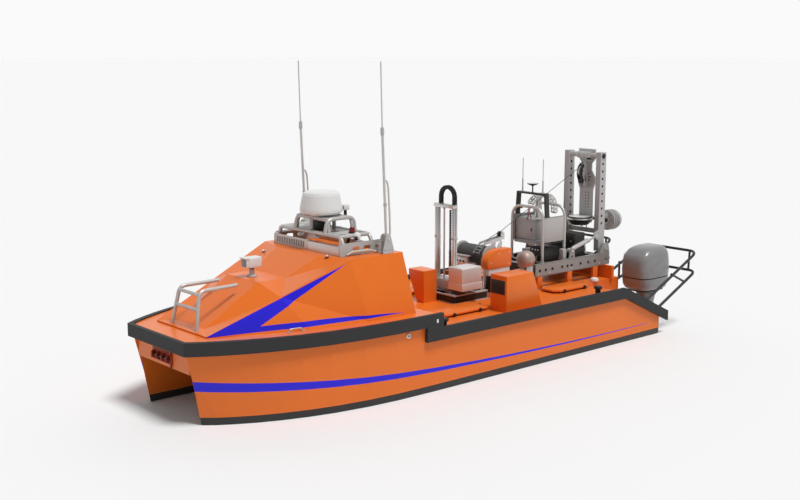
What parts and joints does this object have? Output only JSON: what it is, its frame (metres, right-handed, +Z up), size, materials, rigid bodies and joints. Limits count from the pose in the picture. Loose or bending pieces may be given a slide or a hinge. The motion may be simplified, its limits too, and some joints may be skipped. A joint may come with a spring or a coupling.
{
  "type": "uncrewed surface vessel",
  "caption": "Catamaran uncrewed survey boat with a faceted forward casing, moon-pool hoist, winch, stern launch frame and guarded outboards.",
  "frame": {"origin": "on the waterline and the centreline, near the middle of the hulls", "axes": "+X to the bow, +Y to port, +Z up"},
  "size_m": [7.7478, 2.534, 4.1872],
  "materials": {
    "orange_gelcoat": "satin orange gelcoat, a dark band of bottom paint below the waterline and a thin blue stripe",
    "black_rubber": "matt charcoal fender and coated tube",
    "galvanised_steel": "dull galvanised tube",
    "grey_paint": "light grey painted metal",
    "dark_paint": "dark grey painted metal",
    "white_plastic": "white moulded plastic",
    "cowl_grey": "grey outboard paint",
    "bright_steel": "bright stainless steel"
  },
  "bodies": {
    "vessel": {"hull_port": "orange_gelcoat", "hull_starboard": "orange_gelcoat", "bridge_deck": "orange_gelcoat", "stern_bulkhead": "orange_gelcoat", "bow_fender": "black_rubber", "aft_fender_port": "black_rubber", "aft_fender_starboard": "black_rubber", "forward_casing": "orange_gelcoat", "bow_rail": "galvanised_steel", "camera_pedestal": "white_plastic", "sensor_platform": "galvanised_steel", "radome": "white_plastic", "hoist_frame": "galvanised_steel", "drag_chain": "black_rubber", "hoist_cabinet": "grey_paint", "deck_locker": "orange_gelcoat", "winch_frame": "grey_paint", "winch_cover": "orange_gelcoat", "deck_box": "orange_gelcoat", "bollard_forward_port": "black_rubber", "bollard_forward_starboard": "black_rubber", "bollard_aft_port": "black_rubber", "bollard_aft_starboard": "black_rubber", "launch_base": "grey_paint", "hoop_forward": "galvanised_steel", "hoop_aft": "galvanised_steel", "launch_cabinet": "grey_paint", "cable_guide": "galvanised_steel", "launch_motor": "grey_paint", "stern_cabinet": "dark_paint", "antenna_arch": "dark_paint", "outboard_bracket_port": "cowl_grey", "outboard_bracket_starboard": "cowl_grey", "stern_rail_port": "black_rubber", "stern_rail_starboard": "black_rubber"},
    "camera_head": {"camera_head": "white_plastic"},
    "antenna_port": {"antenna_port": "white_plastic"},
    "antenna_starboard": {"antenna_starboard": "white_plastic"},
    "sonar_pole": {"sonar_pole": "grey_paint"},
    "winch_drum": {"winch_drum": "dark_paint"},
    "hatch_forward_port": {"hatch_forward_port": "orange_gelcoat"},
    "hatch_forward_starboard": {"hatch_forward_starboard": "orange_gelcoat"},
    "hatch_aft_port": {"hatch_aft_port": "orange_gelcoat"},
    "hatch_aft_starboard": {"hatch_aft_starboard": "orange_gelcoat"},
    "a_frame": {"a_frame": "grey_paint"},
    "docking_head": {"docking_head": "grey_paint"},
    "sheave": {"sheave": "dark_paint"},
    "ram_barrel_port": {"ram_barrel_port": "bright_steel"},
    "ram_barrel_starboard": {"ram_barrel_starboard": "bright_steel"},
    "ram_rod_port": {"ram_rod_port": "bright_steel"},
    "ram_rod_starboard": {"ram_rod_starboard": "bright_steel"},
    "outboard_port": {"outboard_port": "cowl_grey", "propeller_guard_port": "bright_steel"},
    "outboard_starboard": {"outboard_starboard": "cowl_grey", "propeller_guard_starboard": "bright_steel"},
    "propeller_port": {"propeller_port": "dark_paint"},
    "propeller_starboard": {"propeller_starboard": "dark_paint"}
  },
  "joints": [
    {"name": "camera_pan", "type": "hinge", "parent": "vessel", "child": "camera_head", "pos_m": [2.33, 0, 1.42], "axis": [0, 0, 1], "range_deg": [-170, 170]},
    {"name": "antenna_fold_port", "type": "hinge", "parent": "vessel", "child": "antenna_port", "pos_m": [1.06, 0.748, 1.7], "axis": [0, -1, 0], "range_deg": [0, 90]},
    {"name": "antenna_fold_starboard", "type": "hinge", "parent": "vessel", "child": "antenna_starboard", "pos_m": [1.06, -0.748, 1.7], "axis": [0, -1, 0], "range_deg": [0, 90]},
    {"name": "sonar_raise", "type": "slide", "parent": "vessel", "child": "sonar_pole", "axis": [0, 0, 1], "range_m": [0, 0.88]},
    {"name": "winch_turn", "type": "hinge", "parent": "vessel", "child": "winch_drum", "pos_m": [-1.14, -0.05, 1.17], "axis": [0, 1, 0], "continuous": true},
    {"name": "hatch_forward_port_open", "type": "hinge", "parent": "vessel", "child": "hatch_forward_port", "pos_m": [0.22, 0.62, 0.6703], "axis": [0, 1, 0], "range_deg": [0, 90]},
    {"name": "hatch_aft_port_open", "type": "hinge", "parent": "vessel", "child": "hatch_aft_port", "pos_m": [-1.8, 0.59, 0.6703], "axis": [0, 1, 0], "range_deg": [0, 90]},
    {"name": "hatch_forward_starboard_open", "type": "hinge", "parent": "vessel", "child": "hatch_forward_starboard", "pos_m": [0.22, -0.62, 0.6703], "axis": [0, 1, 0], "range_deg": [0, 90]},
    {"name": "hatch_aft_starboard_open", "type": "hinge", "parent": "vessel", "child": "hatch_aft_starboard", "pos_m": [-1.8, -0.59, 0.6703], "axis": [0, 1, 0], "range_deg": [0, 90]},
    {"name": "a_frame_swing", "type": "hinge", "parent": "vessel", "child": "a_frame", "pos_m": [-3.19, 0, 1.08], "axis": [0, -1, 0], "range_deg": [0, 60]},
    {"name": "docking_head_swing", "type": "hinge", "parent": "a_frame", "child": "docking_head", "pos_m": [-3.19, 0, 2.33], "axis": [0, 1, 0], "range_deg": [-10, 60]},
    {"name": "sheave_turn", "type": "hinge", "parent": "docking_head", "child": "sheave", "pos_m": [-3.115, 0, 2.11], "axis": [0, 1, 0], "continuous": true},
    {"name": "ram_pivot_port", "type": "hinge", "parent": "vessel", "child": "ram_barrel_port", "pos_m": [-2.5, 0.35, 1.11], "axis": [0, -1, 0], "range_deg": [0, 1.8]},
    {"name": "ram_stroke_port", "type": "slide", "parent": "ram_barrel_port", "child": "ram_rod_port", "axis": [-0.9701, 0, 0.2425], "range_m": [0, 0.2135]},
    {"name": "steering_port", "type": "hinge", "parent": "vessel", "child": "outboard_port", "pos_m": [-3.47, 0.74, 0.24], "axis": [0, 0, 1], "range_deg": [-30, 30]},
    {"name": "propeller_turn_port", "type": "hinge", "parent": "outboard_port", "child": "propeller_port", "pos_m": [-3.93, 0.74, -0.35], "axis": [-1, 0, 0], "continuous": true},
    {"name": "ram_pivot_starboard", "type": "hinge", "parent": "vessel", "child": "ram_barrel_starboard", "pos_m": [-2.5, -0.35, 1.11], "axis": [0, -1, 0], "range_deg": [0, 1.8]},
    {"name": "ram_stroke_starboard", "type": "slide", "parent": "ram_barrel_starboard", "child": "ram_rod_starboard", "axis": [-0.9701, 0, 0.2425], "range_m": [0, 0.2135]},
    {"name": "steering_starboard", "type": "hinge", "parent": "vessel", "child": "outboard_starboard", "pos_m": [-3.47, -0.74, 0.24], "axis": [0, 0, 1], "range_deg": [-30, 30]},
    {"name": "propeller_turn_starboard", "type": "hinge", "parent": "outboard_starboard", "child": "propeller_starboard", "pos_m": [-3.93, -0.74, -0.35], "axis": [-1, 0, 0], "continuous": true}
  ],
  "couplings": [
    {"joint": "ram_pivot_port", "follows": "a_frame_swing", "ratio": 0.0298},
    {"joint": "ram_stroke_port", "follows": "a_frame_swing", "m_per_rad": 0.20335},
    {"joint": "ram_pivot_starboard", "follows": "a_frame_swing", "ratio": 0.0298},
    {"joint": "ram_stroke_starboard", "follows": "a_frame_swing", "m_per_rad": 0.20335}
  ]
}
